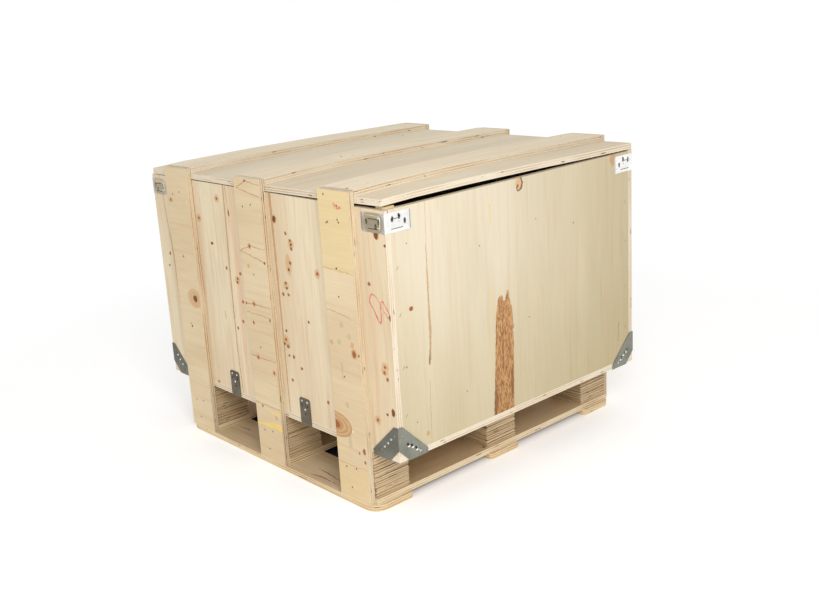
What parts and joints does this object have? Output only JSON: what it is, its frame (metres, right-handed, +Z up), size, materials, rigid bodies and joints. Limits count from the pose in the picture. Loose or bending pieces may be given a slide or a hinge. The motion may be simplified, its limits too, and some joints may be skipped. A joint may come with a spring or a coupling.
{
  "type": "shipping crate",
  "caption": "Plywood shipping crate on a block pallet base for fork lifting, with outside battens, steel corner brackets and a lift-off lid.",
  "frame": {"origin": "on the floor under the middle of the crate, at the bottom centre of its bounding box", "axes": "+Z up; +X along the longer sides, which carry the battens; the front side faces -Y"},
  "size_m": [1.167, 1.076, 0.914],
  "materials": {
    "runner_ply": "raw plywood",
    "cross_board_ply": "raw plywood",
    "block_ply": "stacked plywood edges",
    "deck_ply": "raw plywood",
    "side_ply": "raw softwood plywood",
    "end_ply": "raw softwood plywood",
    "cleat_wood": "sawn softwood",
    "batten_ply": "raw softwood plywood",
    "lid_ply": "raw softwood plywood",
    "lid_batten_ply": "raw softwood plywood",
    "bright_zinc": "bright zinc",
    "grey_zinc": "dull zinc",
    "strap_steel": "dark zinc",
    "nail_steel": "dark steel",
    "plate_nail_steel": "bright steel",
    "staple_steel": "steel wire"
  },
  "bodies": {
    "crate": {"runner_front": "runner_ply", "runner_middle": "runner_ply", "runner_back": "runner_ply", "cross_board_left": "cross_board_ply", "cross_board_middle": "cross_board_ply", "cross_board_right": "cross_board_ply", "block_front_left": "block_ply", "block_front_middle": "block_ply", "block_front_right": "block_ply", "block_middle_left": "block_ply", "block_middle_middle": "block_ply", "block_middle_right": "block_ply", "block_back_left": "block_ply", "block_back_middle": "block_ply", "block_back_right": "block_ply", "deck": "deck_ply", "side_panel_front": "side_ply", "side_panel_back": "side_ply", "end_panel_left": "end_ply", "end_panel_right": "end_ply", "corner_cleat_left_front": "cleat_wood", "corner_cleat_left_back": "cleat_wood", "corner_cleat_right_front": "cleat_wood", "corner_cleat_right_back": "cleat_wood", "side_batten_front_left": "batten_ply", "side_batten_front_middle": "batten_ply", "side_batten_front_right": "batten_ply", "side_batten_back_left": "batten_ply", "side_batten_back_middle": "batten_ply", "side_batten_back_right": "batten_ply", "top_bracket_left_front": "bright_zinc", "top_bracket_left_back": "bright_zinc", "top_bracket_right_front": "bright_zinc", "top_bracket_right_back": "bright_zinc", "bottom_bracket_left_front": "grey_zinc", "bottom_bracket_left_back": "grey_zinc", "bottom_bracket_right_front": "grey_zinc", "bottom_bracket_right_back": "grey_zinc", "strap_front_1": "strap_steel", "strap_front_2": "strap_steel", "strap_back_1": "strap_steel", "strap_back_2": "strap_steel", "batten_nails": "nail_steel", "plate_nails": "plate_nail_steel", "staples": "staple_steel"},
    "lid": {"lid_panel": "lid_ply", "lid_batten_left": "lid_batten_ply", "lid_batten_middle": "lid_batten_ply", "lid_batten_right": "lid_batten_ply", "lid_nails": "nail_steel"}
  },
  "joints": [
    {"name": "lid_lift", "type": "slide", "parent": "crate", "child": "lid", "axis": [0, 0, 1], "range_m": [0, 0.15]}
  ]
}
